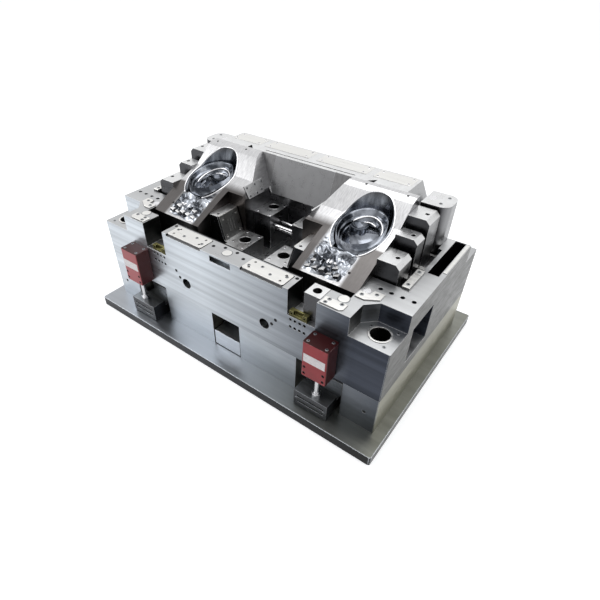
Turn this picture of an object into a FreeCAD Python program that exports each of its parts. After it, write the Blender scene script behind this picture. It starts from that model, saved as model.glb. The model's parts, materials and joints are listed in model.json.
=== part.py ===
import FreeCAD
import Part
import os

# Moving half of a twin-cavity lamp mould, on its own mould base. Millimetres, +Z up.
# The origin is the centre of the clamp plate's underside. X runs along the long front
# side, and everything but one interlock post is mirrored about X = 0.

# ---- mould base -------------------------------------------------------------------
CLAMP_X, CLAMP_Y, CLAMP_T = 1500.0, 972.0, 44.0     # bottom clamp plate
BLOCK_X, BLOCK_Y = 1410.0, 777.0                    # footprint of rails and core plate
SPACER_H = 174.0                                    # height of the spacer blocks
RAIL_W = 145.0                                      # side rail width
INNER_X0, INNER_X1 = 75.0, 359.0                    # inner spacer, from the middle out
INNER_D = 58.0                                      # inner spacer depth
CORE_H = 297.0                                      # core plate height
EDGE = 3.0                                          # broken edges of the plates
KNOCKOUT_R = 30.0                                   # machine ejector rod holes
KNOCKOUT_X = 200.0

# ---- core plate -------------------------------------------------------------------
STEP_X, STEP_Y, STEP_DROP = 150.0, 123.5, 75.0      # stepped guide corners
STEP_CHAMFER = 42.0
GUIDE_X, GUIDE_Y, GUIDE_R = 635.0, 320.0, 34.0      # guide pillar bores
BUSH_WALL, BUSH_RIM = 7.0, 2.0
WALL_T = 88.5                                       # front and rear wall of the pocket
POCKET_X, POCKET_Z = 505.0, 300.0                   # core pocket half width, floor
NOTCH_X0, NOTCH_X1, NOTCH_Z = 314.0, 431.0, 405.0   # front notches
WINDOW_X, WINDOW_Z, WINDOW_D = 52.0, 482.0, 34.0    # notch in the centre wall
PORT_X, PORT_Z, PORT_R, PORT_D = 208.0, 307.0, 23.0, 130.0
WATER_R, WATER_PITCH, WATER_DEPTH = 6.0, 20.0, 60.0  # water lines under the notches
WATER_X0, WATER_DROPS = 328.0, (15.0, 48.0)
RAIL_HOLE_R, RAIL_HOLE_D = 7.0, 30.0
WINDOW_LIP = 8.0                                    # metal left above the window
TROUGH_X, TROUGH_Z = 628.0, 440.0                   # slide trough, outer side and floor
TROUGH_Y0, TROUGH_Y1 = -150.0, 168.0
SIDE_POCKET_X0, SIDE_POCKET_X1 = 645.0, 686.0       # deep pocket beside the trough
SIDE_POCKET_Y0, SIDE_POCKET_Y1, SIDE_POCKET_Z = -10.0, 262.0, 290.0
SIDE_WINDOW_Y0, SIDE_WINDOW_Y1 = -215.0, -45.0      # opening in the outer face
SIDE_WINDOW_Z0, SIDE_WINDOW_Z1, SIDE_WINDOW_D = 268.0, 425.0, 55.0
LEDGE_HOLE_R, LEDGE_HOLE_D, LEDGE_HOLE_Y = 8.0, 40.0, -195.0
LEDGE_HOLE_X0, LEDGE_HOLE_PITCH, LEDGE_HOLES = 559.0, 40.0, 4

# ---- inserts ----------------------------------------------------------------------
HILL_Y0, HILL_Z0 = -262.0, 508.0                    # lamp block, low front edge
HILL_Y1, HILL_Z1 = -150.0, 560.0
HILL_Y2, HILL_Z2 = -76.0, 590.0
HILL_Y3, HILL_Z3 = 18.0, 622.0
HILL_Y4, HILL_Z4 = 100.0, 690.0
TOP_Z = 702.0                                       # rear wall top
REAR_Y0, REAR_Y1 = 155.0, 292.0                     # rear wall
REAR_TOP_X, REAR_CHEEK_Z = 455.0, 600.0
CHANNEL_BOTTOM_X, CHANNEL_BOTTOM_Y, CHANNEL_BOTTOM_Z = 134.0, 96.0, 556.0
CHANNEL_TOP_X, CHANNEL_TOP_Y = 225.0, 150.0
LAMP_INNER_X = 148.0
BOWL_X, BOWL_Y, BOWL_RX, BOWL_RY, BOWL_Z = 378.0, -24.0, 96.0, 122.0, 500.0
BOWL_LIP, BOWL_MOUTH_X, BOWL_MOUTH_Y, BOWL_SILL = 14.0, 52.0, -210.0, 12.0
PAD_X0 = 57.0                                       # inner edge of the four pads
REAR_PAD_Y0, REAR_PAD_Y1, REAR_PAD_Z = -12.0, 117.0, 509.0
FRONT_PAD_Y1, FRONT_PAD_Z = -60.0, 434.0
REAR_BORE_R, FRONT_BORE_R, PAD_BORE_X = 23.0, 25.0, 102.0
REAR_BORE_Y, FRONT_BORE_Y = 71.0, -127.0
CENTRE_GAP = 12.0                                   # centre block to the front wall
WEDGE_TOP_Z, WEDGE_TOP_X0, WEDGE_X1 = 538.0, 190.0, 240.0
WEDGE_FOOT_X0, WEDGE_Y0, WEDGE_Y1 = 160.0, -188.0, -68.0
WEDGE_PLATE_T = 8.0
CENTRE_FLOOR_Z = 350.0
REAR_NOTCH_X, REAR_NOTCH_W, REAR_NOTCH_D = 300.0, 16.0, 14.0
SLIT_SETBACK, SLIT_W, SLIT_D = 14.0, 6.0, 12.0      # slit along the rear wall's top

# ---- slides -----------------------------------------------------------------------
RUN = 0.3                                           # running gap on flat faces
SLIDE_X1 = 591.0
SLIDES = ((-141.0, -45.0, 585.0), (-18.0, 44.0, 624.0), (64.0, 158.0, 664.0))
SLIDE_FOOT, SLIDE_FOOT_H, GIB_H = 6.0, 14.0, 30.0
SLIDE_CHAMFER = 16.0
SLIDE_HOLE_R, SLIDE_HOLE_D = 8.0, 35.0
CORNER_X1, CORNER_R, CORNER_Z = 612.0, 40.0, 673.0  # rounded rear corner block

# ---- plates on the parting face -----------------------------------------------------
WEAR_X0, WEAR_X1, WEAR_Y1 = 100.0, 290.0, -312.0
WEAR_T, WEAR_PROUD, WEAR_SETBACK = 12.0, 2.0, 5.0
WEAR_SCREW_R, WEAR_SCREW_D = 5.0, 5.0
DISC_R, DISC_PROUD, DISC_T = 19.0, 1.0, 8.0
DISC_SPOTS = ((0.0, -344.0), (-490.0, -318.0), (490.0, -318.0))
POST_X0, POST_X1, POST_Y0 = 366.0, 429.0, -366.0
MANIFOLD_IN, MANIFOLD_W, MANIFOLD_H = 7.0, 74.0, 24.0

# ---- ejection -----------------------------------------------------------------------
STROKE = 80.0
REST_H = 4.0                                        # rest buttons under the plates
EJECTOR_T, RETAINER_T = 38.0, 38.0
EJECTOR_X, EJECTOR_Y = 1100.0, 640.0
TONGUE_X, TONGUE_END = 71.0, 2.0                    # tongue in the middle opening
BRACKET_X0, BRACKET_X1, BRACKET_Y = 396.0, 542.0, 450.0
BRACKET_H, BRACKET_WEB, BRACKET_END = 76.0, 26.0, 14.0
CYL_X0, CYL_X1, CYL_D = 428.0, 529.0, 69.0
CYL_Z0, CYL_Z1 = 237.0, 395.0
CYL_FILLET = 6.0
ROD_R, ROD_NUT_R, ROD_NUT_H = 10.0, 17.0, 18.0
ROD_IN, ROD_ROOM = 55.0, 5.0                        # rod length in its cylinder, end room
CYL_PORT_R, CYL_PORT_D, CYL_PORT_IN = 6.0, 12.0, 12.0
CYL_PORT_HEIGHTS = (14.0, 44.0)
FIT = 0.05                                          # radial clearance of running pins
RETURN_X, RETURN_Y, RETURN_R = 528.0, 230.0, 15.0
RETURN_HEAD, HEAD_H = 6.0, 12.0
EJ_GUIDE_X, EJ_GUIDE_Y, EJ_GUIDE_R, EJ_BUSH_WALL = 300.0, 262.0, 20.0, 8.0
PILLAR_X, PILLAR_Y, PILLAR_R, PILLAR_GAP = 230.0, 120.0, 32.0, 4.0
PIN_R, PIN_GAP = 5.0, 1.5
BUTTON_X, BUTTON_Y, BUTTON_R = 468.0, 200.0, 18.0
BRACKET_SLOT, BRACKET_SLOT_HEIGHTS = 9.0, (20.0, 46.0)      # slots across a bracket's front
PIN_SPOTS = ((330.0, -205.0), (441.0, -205.0), (300.0, 128.0), (470.0, 128.0))

# ---- worked out from the sizes above -------------------------------------------------
RAIL_TOP = CLAMP_T + SPACER_H
CORE_TOP = RAIL_TOP + CORE_H
HX, HY = BLOCK_X / 2, BLOCK_Y / 2
STEP_Z = CORE_TOP - STEP_DROP
POCKET_Y = HY - WALL_T
RETAINER_Z = CLAMP_T + REST_H + EJECTOR_T
RETAINER_TOP = RETAINER_Z + RETAINER_T
GAP_Y = HY - INNER_D


def box(x0, x1, y0, y1, z0, z1):
    return Part.makeBox(x1 - x0, y1 - y0, z1 - z0, FreeCAD.Vector(x0, y0, z0))


def pin(x, y, z0, z1, r):
    return Part.makeCylinder(r, z1 - z0, FreeCAD.Vector(x, y, z0))


def face_pin(x, y, z, depth, r, direction):
    return Part.makeCylinder(r, depth, FreeCAD.Vector(x, y, z), FreeCAD.Vector(*direction))


def prism(points, vector):
    wire = Part.makePolygon([FreeCAD.Vector(*p) for p in points + points[:1]])
    return Part.Face(wire).extrude(FreeCAD.Vector(*vector))


def profile_yz(points, x0, x1):
    return prism([(x0, y, z) for y, z in points], (x1 - x0, 0, 0))


def profile_xz(points, y0, y1):
    return prism([(x, y0, z) for x, z in points], (0, y1 - y0, 0))


def profile_xy(points, z0, z1):
    return prism([(x, y, z0) for x, y in points], (0, 0, z1 - z0))


def ellipse(x, y, z, rx, ry):
    turn = 0 if rx >= ry else 90
    curve = Part.Ellipse(FreeCAD.Vector(0, 0, 0), max(rx, ry), min(rx, ry))
    wire = Part.Wire(curve.toShape())
    wire.rotate(FreeCAD.Vector(0, 0, 0), FreeCAD.Vector(0, 0, 1), turn)
    wire.translate(FreeCAD.Vector(x, y, z))
    return wire


def mirror(shape):
    return shape.mirror(FreeCAD.Vector(0, 0, 0), FreeCAD.Vector(1, 0, 0))


def flip_y(shape):
    return shape.mirror(FreeCAD.Vector(0, 0, 0), FreeCAD.Vector(0, 1, 0))


def both(shape):
    return [shape, mirror(shape)]


def four(shape):
    return both(shape) + [flip_y(s) for s in both(shape)]


def cut(shape, tools):
    return shape.cut(Part.makeCompound(tools)) if tools else shape


def export(name, shape):
    shape.exportStep("parts/" + name + ".step")


def pair(name, shape):
    export(name + "_right", shape)
    export(name + "_left", mirror(shape))


def hill_profile(floor, ridge_y):
    """The side view of the lamp block: a slope that climbs to the rear wall."""
    return [(HILL_Y0, floor), (HILL_Y0, HILL_Z0), (HILL_Y1, HILL_Z1), (HILL_Y2, HILL_Z2),
            (HILL_Y3, HILL_Z3), (HILL_Y4, HILL_Z4), (HILL_Y4 + 28, TOP_Z),
            (ridge_y, TOP_Z), (ridge_y, floor)]


def channel():
    """The funnel between the two lamp blocks, with drafted sides and back."""
    low = [(-CHANNEL_BOTTOM_X, -400, CHANNEL_BOTTOM_Z), (CHANNEL_BOTTOM_X, -400, CHANNEL_BOTTOM_Z),
           (CHANNEL_BOTTOM_X, CHANNEL_BOTTOM_Y, CHANNEL_BOTTOM_Z),
           (-CHANNEL_BOTTOM_X, CHANNEL_BOTTOM_Y, CHANNEL_BOTTOM_Z)]
    top = [(-CHANNEL_TOP_X, -400, TOP_Z + 1), (CHANNEL_TOP_X, -400, TOP_Z + 1),
           (CHANNEL_TOP_X, CHANNEL_TOP_Y, TOP_Z + 1), (-CHANNEL_TOP_X, CHANNEL_TOP_Y, TOP_Z + 1)]
    wires = [Part.makePolygon([FreeCAD.Vector(*p) for p in ring + ring[:1]])
             for ring in (low, top)]
    return Part.makeLoft(wires, True, True)


def ejector_pin_places():
    return [(side * x, y) for x, y in PIN_SPOTS for side in (1, -1)]


# ---- mould base ----------------------------------------------------------------------
def clamp_plate():
    plate = box(-CLAMP_X / 2, CLAMP_X / 2, -CLAMP_Y / 2, CLAMP_Y / 2, 0, CLAMP_T)
    upright = [e for e in plate.Edges if abs(e.tangentAt(0).z) > 0.9]
    plate = plate.makeChamfer(EDGE * 2, upright)
    holes = both(pin(KNOCKOUT_X, 0, -1, CLAMP_T + 1, KNOCKOUT_R))
    return cut(plate, holes)


def side_rail():
    rail = box(HX - RAIL_W, HX, -HY, HY, CLAMP_T, RAIL_TOP)
    rail = rail.makeChamfer(EDGE, [e for e in rail.Edges if abs(e.tangentAt(0).z) > 0.9])
    holes = [face_pin(HX - RAIL_W / 3, s * (HY + 1), CLAMP_T + SPACER_H / 2, RAIL_HOLE_D,
                      RAIL_HOLE_R, (0, -s, 0)) for s in (1, -1)]
    return cut(rail, holes)


def inner_spacer():
    return box(INNER_X0, INNER_X1, -HY, -GAP_Y, CLAMP_T, RAIL_TOP)


def corner_step():
    """The stepped corner where a guide pillar enters, chamfered on its inner corner."""
    x0, y1 = HX - STEP_X, -HY + STEP_Y
    outline = [(x0, -HY - 1), (HX + 1, -HY - 1), (HX + 1, y1), (x0 + STEP_CHAMFER, y1),
               (x0, y1 - STEP_CHAMFER)]
    return profile_xy(outline, STEP_Z, CORE_TOP + 1)


def water_rows():
    rows = []
    for drop in WATER_DROPS:
        for i in range(4):
            x = WATER_X0 + i * WATER_PITCH
            rows.append(face_pin(x, -HY - 1, NOTCH_Z - drop, WATER_DEPTH, WATER_R, (0, 1, 0)))
    return rows


def slide_trough():
    trough = box(POCKET_X - 1, TROUGH_X, TROUGH_Y0, TROUGH_Y1, TROUGH_Z, CORE_TOP + 1)
    rear = box(POCKET_X - 1, CORNER_X1, TROUGH_Y1 - 1, REAR_Y1, POCKET_Z, CORE_TOP + 1)
    return [trough, rear]


def core_plate():
    plate = box(-HX, HX, -HY, HY, RAIL_TOP, CORE_TOP)
    plate = plate.makeChamfer(EDGE, [e for e in plate.Edges if abs(e.tangentAt(0).z) > 0.9])
    cuts = [box(-POCKET_X, POCKET_X, -POCKET_Y, REAR_Y1, POCKET_Z, CORE_TOP + 1)]
    cuts += four(corner_step())
    cuts += four(pin(GUIDE_X, -GUIDE_Y, RAIL_TOP - 1, CORE_TOP + 1, GUIDE_R + BUSH_WALL))
    cuts += both(box(NOTCH_X0, NOTCH_X1, -HY - 1, -POCKET_Y + 1, NOTCH_Z, CORE_TOP + 1))
    cuts.append(box(-WINDOW_X, WINDOW_X, -HY - 1, -HY + WINDOW_D, WINDOW_Z, CORE_TOP - WINDOW_LIP))
    cuts += both(face_pin(PORT_X, -HY - 1, PORT_Z, PORT_D, PORT_R, (0, 1, 0)))
    for tool in water_rows() + slide_trough() + [side_pocket(), side_window()] + ledge_holes():
        cuts += both(tool)
    cuts += both(wear_seat()) + [disc_seat(x, y) for x, y in DISC_SPOTS]
    cuts += both(pin(RETURN_X, -RETURN_Y, RAIL_TOP - 1, CORE_TOP + 1, RETURN_R + FIT))
    cuts += both(pin(RETURN_X, RETURN_Y, RAIL_TOP - 1, POCKET_Z + 1, RETURN_R + FIT))
    cuts += [pin(x, y, RAIL_TOP - 1, POCKET_Z + 1, PIN_R + PIN_GAP)
             for x, y in ejector_pin_places()]
    return cut(plate, cuts)


def side_pocket():
    return box(SIDE_POCKET_X0, SIDE_POCKET_X1, SIDE_POCKET_Y0, SIDE_POCKET_Y1,
               SIDE_POCKET_Z, CORE_TOP + 1)


def side_window():
    return box(HX - SIDE_WINDOW_D, HX + 1, SIDE_WINDOW_Y0, SIDE_WINDOW_Y1,
               SIDE_WINDOW_Z0, SIDE_WINDOW_Z1)


def ledge_holes():
    return [pin(LEDGE_HOLE_X0 + i * LEDGE_HOLE_PITCH, LEDGE_HOLE_Y, CORE_TOP - LEDGE_HOLE_D,
                CORE_TOP + 1, LEDGE_HOLE_R) for i in range(LEDGE_HOLES)]


def guide_bush():
    top = STEP_Z + BUSH_RIM
    bush = pin(GUIDE_X, -GUIDE_Y, RAIL_TOP, top, GUIDE_R + BUSH_WALL)
    return bush.cut(pin(GUIDE_X, -GUIDE_Y, RAIL_TOP - 1, top + 1, GUIDE_R))


# ---- inserts -------------------------------------------------------------------------
def rear_wall():
    outline = [(-POCKET_X, POCKET_Z), (POCKET_X, POCKET_Z), (POCKET_X, REAR_CHEEK_Z),
               (REAR_TOP_X, TOP_Z), (-REAR_TOP_X, TOP_Z), (-POCKET_X, REAR_CHEEK_Z)]
    wall = profile_xz(outline, REAR_Y0, REAR_Y1)
    x0, x1 = REAR_NOTCH_X - REAR_NOTCH_W, REAR_NOTCH_X + REAR_NOTCH_W
    notch = profile_xy([(x0, REAR_Y0 - 1), (x1, REAR_Y0 - 1), (x1, REAR_Y0 + 2 * REAR_NOTCH_W)],
                       TOP_Z - REAR_NOTCH_D, TOP_Z + 1)
    slit_y = REAR_Y0 + SLIT_SETBACK
    slit = box(-CHANNEL_TOP_X, CHANNEL_TOP_X, slit_y, slit_y + SLIT_W, TOP_Z - SLIT_D, TOP_Z + 1)
    return cut(wall, both(notch) + [slit])


def bowl():
    """The lamp opening: an oval well with a drafted wall and a mouth towards the front."""
    wires = [ellipse(BOWL_X, BOWL_Y, BOWL_Z, BOWL_RX - BOWL_LIP, BOWL_RY - BOWL_LIP),
             ellipse(BOWL_X, BOWL_Y, TOP_Z + 20, BOWL_RX + BOWL_LIP, BOWL_RY + BOWL_LIP)]
    well = Part.makeLoft(wires, True)
    mouth = box(BOWL_X - BOWL_MOUTH_X, BOWL_X + BOWL_MOUTH_X, BOWL_MOUTH_Y, BOWL_Y,
                BOWL_Z + BOWL_SILL, TOP_Z)
    return well.fuse(mouth)


def lamp_block():
    block = profile_yz(hill_profile(POCKET_Z, REAR_Y0), LAMP_INNER_X, POCKET_X)
    notch_floor = box(LAMP_INNER_X - 1, WEDGE_X1, HILL_Y0 - 1, WEDGE_Y1, POCKET_Z - 1, TOP_Z)
    pins = [pin(x, y, POCKET_Z - 1, TOP_Z, PIN_R + FIT) for x, y in PIN_SPOTS]
    return cut(block, [channel(), notch_floor, bowl()] + pins)


def lamp_core():
    """Polished free form inside the bowl: a stepped, dished dome with a projector ring."""
    foot = BOWL_Z
    sizes = ((0, 0.80), (46, 0.74), (84, 0.58))
    wires = [ellipse(BOWL_X, BOWL_Y + h * 0.25, foot + h, BOWL_RX * k, BOWL_RY * k)
             for h, k in sizes]
    dome = Part.makeLoft(wires, True)
    ring_r, ring_x, ring_y, ring_top = 34.0, BOWL_X - 22, BOWL_Y + 22, foot + 104
    ring = Part.makeCone(ring_r + 8, ring_r, ring_top - foot, FreeCAD.Vector(ring_x, ring_y, foot))
    lens = Part.makeSphere(ring_r + 14, FreeCAD.Vector(ring_x, ring_y, ring_top + 30))
    dish = Part.makeSphere(120, FreeCAD.Vector(BOWL_X + 70, BOWL_Y - 60, foot + 160))
    body = dome.cut(dish).fuse(ring).cut(lens)
    ribs = [box(BOWL_X + dx - 3, BOWL_X + dx + 3, BOWL_Y - 92, BOWL_Y - 20, foot, foot + 58)
            for dx in (-36, 0, 36)]
    for rib in ribs:
        body = body.fuse(rib)
    return body.removeSplitter()


def centre_floor():
    """The block under the four pads, which closes the pocket between the lamp blocks."""
    floor = box(-LAMP_INNER_X, LAMP_INNER_X, -POCKET_Y + CENTRE_GAP, REAR_Y0, POCKET_Z,
                CENTRE_FLOOR_Z)
    outline = [(REAR_Y0, CENTRE_FLOOR_Z), (REAR_PAD_Y1, CENTRE_FLOOR_Z), (REAR_PAD_Y1, REAR_PAD_Z),
               (CHANNEL_BOTTOM_Y, CHANNEL_BOTTOM_Z), (CHANNEL_BOTTOM_Y, TOP_Z), (REAR_Y0, TOP_Z)]
    saddle = profile_yz(outline, -LAMP_INNER_X, LAMP_INNER_X)
    return floor.fuse(saddle.cut(channel())).removeSplitter()


def rear_pad():
    pad = box(PAD_X0, LAMP_INNER_X, REAR_PAD_Y0, REAR_PAD_Y1, CENTRE_FLOOR_Z, REAR_PAD_Z)
    return pad.cut(pin(PAD_BORE_X, REAR_BORE_Y, CENTRE_FLOOR_Z - 1, REAR_PAD_Z + 1, REAR_BORE_R))


def front_pad():
    pad = box(PAD_X0, LAMP_INNER_X, -POCKET_Y + CENTRE_GAP, FRONT_PAD_Y1, CENTRE_FLOOR_Z, FRONT_PAD_Z)
    return pad.cut(pin(PAD_BORE_X, FRONT_BORE_Y, CENTRE_FLOOR_Z - 1, FRONT_PAD_Z + 1, FRONT_BORE_R))


def wedge_line(z):
    share = (z - FRONT_PAD_Z) / (WEDGE_TOP_Z - FRONT_PAD_Z)
    return WEDGE_FOOT_X0 + (WEDGE_TOP_X0 - WEDGE_FOOT_X0) * share


def wedge_block():
    outline = [(LAMP_INNER_X, POCKET_Z), (WEDGE_X1, POCKET_Z), (WEDGE_X1, WEDGE_TOP_Z),
               (WEDGE_TOP_X0 + WEDGE_PLATE_T, WEDGE_TOP_Z),
               (WEDGE_FOOT_X0 + WEDGE_PLATE_T, FRONT_PAD_Z), (LAMP_INNER_X, FRONT_PAD_Z)]
    block = profile_xz(outline, WEDGE_Y0, WEDGE_Y1)
    return block.cut(pin(WEDGE_X1 - 30, WEDGE_Y0 + 21, WEDGE_TOP_Z - 30, WEDGE_TOP_Z + 1, 6))


def wedge_plate():
    outline = [(WEDGE_FOOT_X0, FRONT_PAD_Z), (WEDGE_FOOT_X0 + WEDGE_PLATE_T, FRONT_PAD_Z),
               (WEDGE_TOP_X0 + WEDGE_PLATE_T, WEDGE_TOP_Z), (WEDGE_TOP_X0, WEDGE_TOP_Z)]
    plate = profile_xz(outline, WEDGE_Y0 + 4, WEDGE_Y1 - 4)
    lean = (WEDGE_TOP_Z - FRONT_PAD_Z, 0, WEDGE_FOOT_X0 - WEDGE_TOP_X0)
    screws = [face_pin(wedge_line(z) - 2, y, z, 8, 5, lean)
              for z in (FRONT_PAD_Z + 16, WEDGE_TOP_Z - 16) for y in (WEDGE_Y0 + 20, WEDGE_Y1 - 20)]
    grooves = [box(0, WEDGE_X1, y - 1.5, y + 1.5, FRONT_PAD_Z + 28, WEDGE_TOP_Z - 28)
               for y in (WEDGE_Y0 + 45, (WEDGE_Y0 + WEDGE_Y1) / 2, WEDGE_Y1 - 45)]
    shallow = profile_xz([(WEDGE_FOOT_X0 - 9, FRONT_PAD_Z), (WEDGE_FOOT_X0 + 2, FRONT_PAD_Z),
                          (WEDGE_TOP_X0 + 2, WEDGE_TOP_Z), (WEDGE_TOP_X0 - 9, WEDGE_TOP_Z)],
                         WEDGE_Y0, WEDGE_Y1)
    return cut(plate, screws + [g.common(shallow) for g in grooves])


def corner_block():
    """The rounded block behind the slides, which closes the trough."""
    block = box(POCKET_X, CORNER_X1, TROUGH_Y1 + 4, REAR_Y1, POCKET_Z, CORNER_Z)
    outer = [e for e in block.Edges if abs(e.tangentAt(0).z) > 0.9
             and e.Vertexes[0].X > CORNER_X1 - 1]
    block = block.makeFillet(CORNER_R, outer)
    return block.cut(pin(RETURN_X, RETURN_Y, POCKET_Z - 1, CORNER_Z + 1, RETURN_R + FIT))


# ---- slides --------------------------------------------------------------------------
def slide(y0, y1, top):
    x0 = POCKET_X + RUN
    body = box(x0, SLIDE_X1, y0, y1, TROUGH_Z + RUN, top)
    ridge = [e for e in body.Edges if abs(e.tangentAt(0).y) > 0.9
             and e.Vertexes[0].X > SLIDE_X1 - 1 and e.Vertexes[0].Z > top - 1]
    body = body.makeChamfer(SLIDE_CHAMFER, ridge)
    foot = box(x0, SLIDE_X1 + 10, y0 - SLIDE_FOOT, y1 + SLIDE_FOOT, TROUGH_Z + RUN,
               TROUGH_Z + SLIDE_FOOT_H)
    hole = pin(SLIDE_X1 - 32, (y0 + y1) / 2, top - SLIDE_HOLE_D, top + 1, SLIDE_HOLE_R)
    return body.fuse(foot).cut(hole)


def slide_gibs():
    """Tee-shaped keepers between the slides, which hold their feet down."""
    edges = [TROUGH_Y0] + [y for y0, y1, top in SLIDES for y in (y0, y1)] + [TROUGH_Y1]
    gibs = []
    for lo, hi in zip(edges[0::2], edges[1::2]):
        first, last = lo == TROUGH_Y0, hi == TROUGH_Y1
        foot_lo = lo if first else lo + SLIDE_FOOT + RUN
        foot_hi = hi if last else hi - SLIDE_FOOT - RUN
        cap_lo = lo if first else lo + RUN
        cap_hi = hi if last else hi - RUN
        z1 = TROUGH_Z + SLIDE_FOOT_H + RUN
        cap = box(POCKET_X, TROUGH_X - 8, cap_lo, cap_hi, z1, z1 + GIB_H)
        foot = box(POCKET_X, TROUGH_X - 8, foot_lo, foot_hi, TROUGH_Z, z1)
        gibs.append(cap.fuse(foot).removeSplitter())
    return Part.makeCompound(gibs)


# ---- plates on the parting face --------------------------------------------------------
def wear_seat():
    return box(WEAR_X0, WEAR_X1, -HY - 1, WEAR_Y1, CORE_TOP + WEAR_PROUD - WEAR_T, CORE_TOP + 1)


def wear_plate():
    z1 = CORE_TOP + WEAR_PROUD
    plate = box(WEAR_X0 + 2, WEAR_X1 - 2, -HY + WEAR_SETBACK, WEAR_Y1, z1 - WEAR_T, z1)
    upright = [e for e in plate.Edges if abs(e.tangentAt(0).z) > 0.9]
    plate = plate.makeChamfer(6, upright)
    spots = [(x, y) for x in (WEAR_X0 + 25, WEAR_X1 - 25) for y in (-HY + 22, WEAR_Y1 - 16)]
    return cut(plate, [pin(x, y, z1 - WEAR_SCREW_D, z1 + 1, WEAR_SCREW_R) for x, y in spots])


def disc_seat(x, y):
    return pin(x, y, CORE_TOP - DISC_T, CORE_TOP + 1, DISC_R + 2)


def pressure_discs():
    return Part.makeCompound([pin(x, y, CORE_TOP - DISC_T, CORE_TOP + DISC_PROUD, DISC_R)
                              for x, y in DISC_SPOTS])


def interlock_post():
    post = box(POST_X0, POST_X1, POST_Y0, -POCKET_Y, NOTCH_Z, CORE_TOP)
    return post.cut(pin((POST_X0 + POST_X1) / 2, (POST_Y0 - POCKET_Y) / 2, CORE_TOP - 50,
                        CORE_TOP + 1, 16))


def water_manifold():
    """A U-shaped brass distributor that lies on the floor of a front notch."""
    x0, x1 = NOTCH_X0 + MANIFOLD_IN, NOTCH_X0 + MANIFOLD_IN + MANIFOLD_W
    y0 = -HY + 2
    block = box(x0, x1, y0, POST_Y0 - 1, NOTCH_Z, NOTCH_Z + MANIFOLD_H)
    throat = box(x0 + 18, x1 - 18, y0 - 1, POST_Y0 - 8, NOTCH_Z + 9, NOTCH_Z + MANIFOLD_H + 1)
    ports = [face_pin(x, y0 - 1, NOTCH_Z + MANIFOLD_H / 2, 10, 4.5, (0, 1, 0))
             for x in (x0 + 9, x1 - 9)]
    return cut(block, [throat] + ports)


# ---- ejection --------------------------------------------------------------------------
def plate_outline(z0, z1):
    plate = box(-EJECTOR_X / 2, EJECTOR_X / 2, -EJECTOR_Y / 2, EJECTOR_Y / 2, z0, z1)
    tongue = box(-TONGUE_X, TONGUE_X, -HY + TONGUE_END, HY - TONGUE_END, z0, z1)
    plate = plate.fuse(tongue).removeSplitter()
    holes = four(pin(PILLAR_X, -PILLAR_Y, z0 - 1, z1 + 1, PILLAR_R + PILLAR_GAP))
    holes += four(pin(EJ_GUIDE_X, -EJ_GUIDE_Y, z0 - 1, z1 + 1, EJ_GUIDE_R + EJ_BUSH_WALL))
    return cut(plate, holes)


def ejector_plate():
    return plate_outline(CLAMP_T + REST_H, RETAINER_Z)


def retainer_plate():
    plate = plate_outline(RETAINER_Z, RETAINER_TOP)
    heads = four(pin(RETURN_X, -RETURN_Y, RETAINER_Z - 1, RETAINER_Z + HEAD_H, RETURN_R + RETURN_HEAD))
    shanks = four(pin(RETURN_X, -RETURN_Y, RETAINER_Z, RETAINER_TOP + 1, RETURN_R))
    pins = [pin(x, y, RETAINER_Z - 1, RETAINER_TOP + 1, PIN_R) for x, y in ejector_pin_places()]
    return cut(plate, heads + shanks + pins)


def rest_buttons():
    return Part.makeCompound(four(pin(BUTTON_X, -BUTTON_Y, CLAMP_T, CLAMP_T + REST_H, BUTTON_R)))


def return_pin(top):
    shank = pin(RETURN_X, -RETURN_Y, RETAINER_Z, top, RETURN_R)
    return shank.fuse(pin(RETURN_X, -RETURN_Y, RETAINER_Z, RETAINER_Z + HEAD_H,
                          RETURN_R + RETURN_HEAD))


def return_pins():
    """The front pair ends in the parting face, the rear pair on top of the corner blocks."""
    return Part.makeCompound(both(return_pin(CORE_TOP)) + both(flip_y(return_pin(CORNER_Z))))


def hill_height(y):
    line = [p for p in hill_profile(POCKET_Z, REAR_Y0)[1:-1]]
    for (ya, za), (yb, zb) in zip(line, line[1:]):
        if ya <= y <= yb and yb > ya:
            return za + (zb - za) * (y - ya) / (yb - ya)
    return TOP_Z


def ejector_pins():
    """Core pins under the lamp blocks, cut to the slope of the surface they push on."""
    pins = []
    for x, y in ejector_pin_places():
        pins.append(pin(x, y, RETAINER_Z, hill_height(y) - PIN_R, PIN_R))
    return Part.makeCompound(pins)


def ejector_guide():
    return pin(EJ_GUIDE_X, -EJ_GUIDE_Y, CLAMP_T, RAIL_TOP, EJ_GUIDE_R)


def ejector_bush():
    z0, z1 = CLAMP_T + REST_H, RETAINER_TOP
    bush = pin(EJ_GUIDE_X, -EJ_GUIDE_Y, z0, z1, EJ_GUIDE_R + EJ_BUSH_WALL)
    return bush.cut(pin(EJ_GUIDE_X, -EJ_GUIDE_Y, z0 - 1, z1 + 1, EJ_GUIDE_R + FIT))


def support_pillar():
    return pin(PILLAR_X, -PILLAR_Y, CLAMP_T, RAIL_TOP, PILLAR_R)


def drive_bracket():
    """The stepped block that ties a cylinder's rod to the ejector plate."""
    z0 = CLAMP_T + REST_H
    profile = [(-EJECTOR_Y / 2, z0), (-BRACKET_Y, z0), (-BRACKET_Y, z0 + BRACKET_H),
               (-HY + 8, z0 + BRACKET_H), (-HY + 8, z0 + EJECTOR_T + RETAINER_T - BRACKET_WEB),
               (-EJECTOR_Y / 2, z0 + EJECTOR_T + RETAINER_T - BRACKET_WEB)]
    bracket = profile_yz(profile, BRACKET_X0, BRACKET_X1)
    slot_y = -BRACKET_Y - 1
    slots = [box(BRACKET_X0 + BRACKET_END, BRACKET_X1 - BRACKET_END, slot_y, slot_y + BRACKET_SLOT,
                 z0 + h, z0 + h + BRACKET_SLOT) for h in BRACKET_SLOT_HEIGHTS]
    return cut(bracket, slots)


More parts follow.
